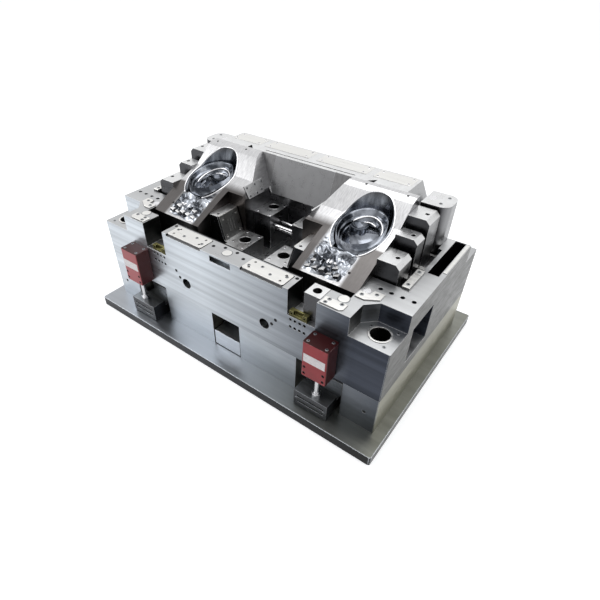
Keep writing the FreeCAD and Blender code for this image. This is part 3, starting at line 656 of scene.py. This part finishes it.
def rear_wall_details():
    twin_plates("rear_wall_plates", "ground_steel", WALL_TOP + WALL_PLATE_RISE - WALL_PLATE_T, [
        (WALL_PLATE, WALL_PLATE_T, 0.001),
        (rectangle(0.020, 0.255, 0.205, 0.282), WALL_PLATE_T, 0.001)])
    top = WALL_TOP + WALL_PLATE_RISE
    spots = [(x, y, top) for x in (0.300, 0.430, 0.04, 0.235) for y in (0.218, 0.268)]
    screws("rear_wall_screws", both_sides(spots), UP, 0.006, rim="bright_pin")


PAD_BORE_X = 0.102
REAR_BORE_Y, REAR_BORE_R = 0.071, 0.023
FRONT_BORE_Y, FRONT_BORE_R = -0.127, 0.025


def pad_details():
    """Screws in the corner blocks and pads, and the ground rims of the pads' bores."""
    block_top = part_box("corner_block_right")[1].z
    screws("corner_block_screws", both_sides([(0.570, 0.200, block_top), (0.580, 0.262, block_top)]),
           UP, 0.007)
    rear_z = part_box("rear_pad_right")[1].z
    front_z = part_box("front_pad_right")[1].z
    pads = [(0.068, 0.0, rear_z), (0.135, 0.0, rear_z), (0.068, 0.104, rear_z)]
    pads += [(0.070, -0.075, front_z), (0.138, -0.072, front_z), (0.138, -0.165, front_z),
             (0.070, -0.182, front_z), (0.128, -0.215, front_z), (0.070, -0.26, front_z)]
    screws("pad_screws", both_sides(pads), UP, 0.006, rim="bright_pin")
    rims = bmesh.new()
    for s, _ in SIDES:
        for y, z, r in ((REAR_BORE_Y, rear_z, REAR_BORE_R), (FRONT_BORE_Y, front_z, FRONT_BORE_R)):
            ring = [(r + 0.0035, -0.0006), (r + 0.0035, 0.0008), (r + 0.001, 0.0012), (r, 0.0002)]
            turn_ring(rims, ring, Vector((s * PAD_BORE_X, y, z)))
    piece("pad_bore_rims", rims, "insert_steel", ROOT)


# ---- lamp optics ------------------------------------------------------------------------
# The lamp block's sloping face, seen from the side: Y and Z of its corners.
HILL_LINE = ((-0.262, 0.508), (-0.150, 0.560), (-0.076, 0.590), (0.018, 0.622), (0.100, 0.690),
             (0.128, 0.702), (0.160, 0.702))


def hill(y):
    """Height of the lamp block's sloping face."""
    for (ya, za), (yb, zb) in zip(HILL_LINE, HILL_LINE[1:]):
        if y <= yb:
            return za + (zb - za) * max(0.0, (y - ya) / (yb - ya))
    return HILL_LINE[-1][1]


def oval(share, angle):
    """X and Y of a point on the bowl's outline, shrunk by a share."""
    return BOWL_X + BOWL_RX * share * math.cos(angle), BOWL_Y + BOWL_RY * share * math.sin(angle)


def bowl_rim(s):
    """A bright bead round the bowl, open towards the front."""
    bm = bmesh.new()
    count = 64
    start, end = math.radians(-62), math.radians(242)
    points = []
    for i in range(count + 1):
        x, y = oval(1.10, start + (end - start) * i / count)
        points.append(Vector((s * x, y, hill(y) + 0.0005)))
    tube(bm, points, 0.0035, 8)
    return bm


def reflector(s):
    """A dished, fluted and stepped reflector ring that fills the bowl round the projector."""
    bm = bmesh.new()
    rows, cols = 22, 64
    grid = []
    for i in range(rows + 1):
        t = i / rows
        step = 0.006 * math.floor(t * 5)
        ring = []
        for j in range(cols):
            a = 2 * math.pi * j / cols
            x, y = oval(0.90 - 0.52 * t, a)
            flute = 0.0022 * math.sin(9 * a) * math.sin(math.pi * t)
            dish = BOWL_Z + 0.030 + 0.088 * (1 - t) ** 1.6 + 0.020 * math.sin(a) * (1 - t)
            ring.append(bm.verts.new((s * x, y, dish + flute + step)))
        grid.append(ring)
    foot = BOWL_Z + 0.002
    outer = [bm.verts.new((v.co.x, v.co.y, foot)) for v in grid[0]]
    inner = [bm.verts.new((v.co.x, v.co.y, foot)) for v in grid[-1]]
    skin(bm, grid)
    skin(bm, [outer, grid[0]])
    skin(bm, [inner, grid[-1]])
    skin(bm, [outer, inner])
    return bm


# Share of the bowl's outline, height, first and last angle, and radius of each rib.
GUIDE_RIBS = ((0.74, 0.580, -40, 150, 0.0042), (0.56, 0.573, 60, 215, 0.0035),
              (0.82, 0.563, 150, 235, 0.0045))


def light_guide(s):
    """Bright curved ribs: the daylight strip that loops round the projector."""
    bm = bmesh.new()
    count = 32
    for share, height, start, end, radius in GUIDE_RIBS:
        points = []
        for i in range(count + 1):
            x, y = oval(share, math.radians(start + (end - start) * i / count))
            z = height + 0.35 * (y - BOWL_Y)
            points.append(Vector((s * x, y, min(z, hill(y) - 0.012))))
        tube(bm, points, radius, 10)
    return bm


def lens_fins(s):
    """Five wavy bright fins that run up the lip."""
    bm = bmesh.new()
    for i in range(5):
        x = 0.350 + 0.0155 * i
        y0 = -0.215 + 0.004 * i
        z = hill(y0) + 0.002
        points = [Vector((s * x, y0 + 0.013 * k, z + 0.016 * math.sin(k * 0.7 + i) - 0.0012 * k))
                  for k in range(7)]
        tube(bm, points, 0.0048, 8)
    return bm


# The core pins that come up through the lip, and how far its pieces stay off them.
PIN_PLACES = ((0.330, -0.205), (0.441, -0.205))
SHEET_CLEAR = 0.011
FACET_CLEAR = 0.022
LIP_X = (0.266, 0.440)
LIP_Y = (-0.258, -0.132)


def near_pin(x, y, room):
    return any(math.hypot(x - px, y - py) < room for px, py in PIN_PLACES)


def lip_height(x, y):
    """The free-formed lip: ridges and dimples laid on the slope of the lamp block."""
    ridge = abs(noise.noise(Vector((x * 24, y * 33, 3.1)))) * 0.020
    fine = noise.noise(Vector((x * 70, y * 60, 7.7))) * 0.0018
    fan = 0.004 * math.sin(x * 190 + y * 60) * max(0.0, math.sin((y + 0.26) * 28))
    return hill(y) + 0.0015 + ridge + fine + fan


def lip_surface(s):
    """A closed bumpy sheet in front of the bowl, left open where the core pins come up."""
    bm = bmesh.new()
    cols, rows = 60, 44
    (x0, x1), (y0, y1) = LIP_X, LIP_Y
    top, low = [], []
    for j in range(rows + 1):
        y = y0 + (y1 - y0) * j / rows
        top.append([])
        low.append([])
        for i in range(cols + 1):
            x = x0 + (x1 - x0) * i / cols
            fade = min(1.0, 8 * min(i / cols, 1 - i / cols), 8 * min(j / rows, 1 - j / rows))
            base = hill(y) - 0.004
            z = base + (lip_height(x, y) - base) * fade + 0.0004
            top[-1].append(bm.verts.new((s * x, y, z)))
            low[-1].append(bm.verts.new((s * x, y, base)))
    kept = set()
    for j in range(rows):
        for i in range(cols):
            x = x0 + (x1 - x0) * (i + 0.5) / cols
            y = y0 + (y1 - y0) * (j + 0.5) / rows
            if not near_pin(x, y, SHEET_CLEAR):
                kept.add((i, j))
    # Each neighbour of a cell, and the two corners of the cell that border on it.
    around = (((0, -1), (0, 0), (1, 0)), ((1, 0), (1, 0), (1, 1)), ((0, 1), (1, 1), (0, 1)),
              ((-1, 0), (0, 1), (0, 0)))
    for i, j in sorted(kept):
        for sheet in (top, low):
            bm.faces.new((sheet[j][i], sheet[j][i + 1], sheet[j + 1][i + 1], sheet[j + 1][i]))
        for (di, dj), (ai, aj), (bi, bj) in around:
            if (i + di, j + dj) not in kept:
                bm.faces.new((top[j + aj][i + ai], top[j + bj][i + bi], low[j + bj][i + bi],
                              low[j + aj][i + ai]))
    loose = [v for v in bm.verts if not v.link_faces]
    bmesh.ops.delete(bm, geom=loose, context="VERTS")
    return bm


def facet_blocks(s):
    """Small milled facets with bevelled tops, in two rows along the lip."""
    bm = bmesh.new()
    half = 0.0105
    outline = [(-half, -half), (half, -half * 0.7), (half * 0.8, half), (-half * 0.8, half)]
    for row, (y, count) in enumerate(((-0.236, 5), (-0.212, 4))):
        for i in range(count):
            x = 0.290 + 0.030 * i + 0.012 * row
            if near_pin(x, y, FACET_CLEAR):
                continue
            z = hill(y) - 0.004

            def leaning(u, v, h, x=x, y=y, z=z):
                return Vector((s * (x + u), y + v, z + h + 0.25 * u))

            add_plate(bm, outline, 0.012 + 0.004 * ((i + row) % 3), 0.003, leaning)
    return bm


def lamp_optics():
    for s, tag in SIDES:
        piece("bowl_rim_" + tag, bowl_rim(s), "bright_pin", ROOT, smooth=True)
        piece("reflector_" + tag, reflector(s), "polished_steel", ROOT, smooth=True)
        piece("light_guide_" + tag, light_guide(s), "bright_pin", ROOT, smooth=True)
        piece("lens_lip_" + tag, lip_surface(s), "lip_chrome", ROOT, smooth=True)
        piece("lens_fins_" + tag, lens_fins(s), "bright_pin", ROOT, smooth=True)
        piece("lens_facets_" + tag, facet_blocks(s), "insert_steel", ROOT)


# ---- bars and cylinders -----------------------------------------------------------------
CENTRE_BARS = ((0.012, 0.462, 0.007), (0.030, 0.440, 0.009), (0.062, 0.455, 0.006))    # Y, Z, radius


def centre_bars():
    """Bright round bars that tie the two rear pads together."""
    bm = bmesh.new()
    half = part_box("rear_pad_right")[0].x
    for y, z, radius in CENTRE_BARS:
        points = [Vector((-half + half * i / 4, y, z)) for i in range(9)]
        tube(bm, points, radius, 16)
    piece("centre_bars", bm, "bright_pin", ROOT, smooth=True)


LABEL_Z = (0.309, 0.345)
LABEL_MARGIN = 0.007
PORT_MARGIN = 0.012
PORT_HEIGHTS = (0.014, 0.044)
CAP_SCREW_MARGIN = 0.014
BRACKET_BOLT_HEIGHT = 0.038


def cylinder_details():
    """The bare label, ports and cap screws of each cylinder, and its bracket's bolts."""
    for end, sy in (("front", -1), ("rear", 1)):
        for _, side in SIDES:
            tag = "_%s_%s" % (end, side)
            lo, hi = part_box("cylinder" + tag)
            face = lo.y if sy < 0 else hi.y

            def on_face(x, z, h, face=face, sy=sy):
                return Vector((x, face + sy * (h - 0.0002), z))

            label = bmesh.new()
            add_plate(label, rectangle(lo.x + LABEL_MARGIN, hi.x - LABEL_MARGIN, *LABEL_Z), 0.0012,
                      0.0003, on_face)
            piece("cylinder_label" + tag, label, "bare_label", ROOT)
            ports = [(x, face - sy * 0.003, lo.z + z)
                     for x in (lo.x + PORT_MARGIN, hi.x - PORT_MARGIN) for z in PORT_HEIGHTS]
            hole_shade_discs("cylinder_ports" + tag, ports, (0, sy, 0), 0.0058)
            tops = [(x, y, hi.z) for x in (lo.x + CAP_SCREW_MARGIN, hi.x - CAP_SCREW_MARGIN)
                    for y in (lo.y + CAP_SCREW_MARGIN, hi.y - CAP_SCREW_MARGIN)]
            screws("cylinder_top_screws" + tag, tops, UP, 0.006)
            lo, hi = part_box("drive_bracket" + tag)
            face = lo.y if sy < 0 else hi.y
            bolts = [(x, face, lo.z + BRACKET_BOLT_HEIGHT) for x in (lo.x + 0.012, hi.x - 0.012)]
            screws("bracket_screws" + tag, bolts, (0, sy, 0), 0.006, EJECTOR)


# ---- stage ------------------------------------------------------------------------------
FLOOR_HALF = 60.0


def white_floor():
    """A floor that looks white to the camera and in reflections."""
    mesh = bpy.data.meshes.new("floor")
    corners = rectangle(-FLOOR_HALF, FLOOR_HALF, -FLOOR_HALF, FLOOR_HALF)
    mesh.from_pydata([(x, y, 0) for x, y in corners], [], [(0, 1, 2, 3)])
    floor = bpy.data.objects.new("floor", mesh)
    bpy.context.scene.collection.objects.link(floor)
    s = Shader("floor_white")
    s.surface("Base Color", (0.8, 0.8, 0.8, 1))
    s.surface("Roughness", 0.9)
    glow = s.add("Emission")
    glow.inputs["Color"].default_value = (1, 1, 1, 1)
    glow.inputs["Strength"].default_value = 0.5
    both = s.add("AddShader")
    s.link(s.bsdf.outputs[0], both.inputs[0])
    s.link(glow.outputs[0], both.inputs[1])
    path = s.add("LightPath")
    mix = s.add("MixShader")
    s.link(s.calc("MAXIMUM", path.outputs["Is Camera Ray"], path.outputs["Is Glossy Ray"]),
           mix.inputs[0])
    s.link(s.bsdf.outputs[0], mix.inputs[1])
    s.link(both.outputs[0], mix.inputs[2])
    s.link(mix.outputs[0], s.tree.nodes["Material Output"].inputs["Surface"])
    mesh.materials.append(s.material)


def white_world():
    """A soft sky that gives the light, and plain white for the camera and in reflections."""
    world = bpy.data.worlds.new("studio")
    bpy.context.scene.world = world
    world.use_nodes = True
    nodes = world.node_tree.nodes
    link = world.node_tree.links.new
    place = nodes.new("ShaderNodeTexCoord")
    split = nodes.new("ShaderNodeSeparateXYZ")
    ramp = nodes.new("ShaderNodeValToRGB")
    link(place.outputs["Generated"], split.inputs[0])
    link(split.outputs["Z"], ramp.inputs[0])
    low, high = ramp.color_ramp.elements
    low.position = 0.0
    low.color = (0.22, 0.24, 0.26, 1)
    high.position = 0.75
    high.color = (0.95, 0.97, 1.0, 1)
    sky = nodes["Background"]
    link(ramp.outputs[0], sky.inputs[0])
    sky.inputs[1].default_value = 0.75
    plain = nodes.new("ShaderNodeBackground")
    plain.inputs[0].default_value = (1, 1, 1, 1)
    path = nodes.new("ShaderNodeLightPath")
    seen = nodes.new("ShaderNodeMath")
    seen.operation = "MAXIMUM"
    link(path.outputs["Is Camera Ray"], seen.inputs[0])
    link(path.outputs["Is Glossy Ray"], seen.inputs[1])
    mix = nodes.new("ShaderNodeMixShader")
    link(seen.outputs[0], mix.inputs[0])
    link(sky.outputs[0], mix.inputs[1])
    link(plain.outputs[0], mix.inputs[2])
    link(mix.outputs[0], nodes["World Output"].inputs[0])


def aim(obj, direction):
    """Turns a lamp or camera to look along a direction, and puts it in the scene."""
    obj.rotation_mode = "QUATERNION"
    obj.rotation_quaternion = direction.to_track_quat("-Z", "Y")
    bpy.context.scene.collection.objects.link(obj)


def area_light(name, place, target, size, power, color):
    data = bpy.data.lights.new(name, "AREA")
    data.shape = "RECTANGLE"
    data.size, data.size_y = size
    data.energy = power
    data.color = color
    lamp = bpy.data.objects.new(name, data)
    lamp.location = place
    aim(lamp, Vector(target) - Vector(place))


def lights():
    area_light("key_left", (-2.6, -2.0, 2.6), (-0.2, 0, 0.4), (2.4, 1.8), 42, (1.0, 1.0, 1.0))
    area_light("top_soft", (0.3, 0.5, 3.4), (0, 0, 0.5), (3.0, 2.4), 40, (1.0, 1.0, 1.0))
    area_light("right_fill", (3.2, 0.6, 1.4), (0.3, 0, 0.3), (1.6, 2.0), 12, (1.0, 0.99, 0.93))


CAMERA_AZIMUTH, CAMERA_ELEVATION = math.radians(37.61), math.radians(40.21)
CAMERA_TARGET = Vector((-0.2810, 0.3243, -0.3892))
CAMERA_DISTANCE = 2.7896


def camera():
    across = math.cos(CAMERA_ELEVATION)
    back = Vector((math.sin(CAMERA_AZIMUTH) * across, -math.cos(CAMERA_AZIMUTH) * across,
                   math.sin(CAMERA_ELEVATION)))
    data = bpy.data.cameras.new("camera")
    data.lens = 26.85
    data.sensor_width = 36.0
    data.shift_x = 0.0387
    data.shift_y = 0.028
    cam = bpy.data.objects.new("camera", data)
    cam.location = CAMERA_TARGET + back * CAMERA_DISTANCE
    aim(cam, -back)
    bpy.context.scene.camera = cam


def main():
    bpy.context.scene.view_settings.view_transform = "Standard"
    camera()
    dress_nodes()
    front_wall_details()
    plateau_details()
    rear_ledge_details()
    channel_plates()
    rear_wall_details()
    pad_details()
    lamp_optics()
    centre_bars()
    cylinder_details()
    white_floor()
    white_world()
    lights()


main()
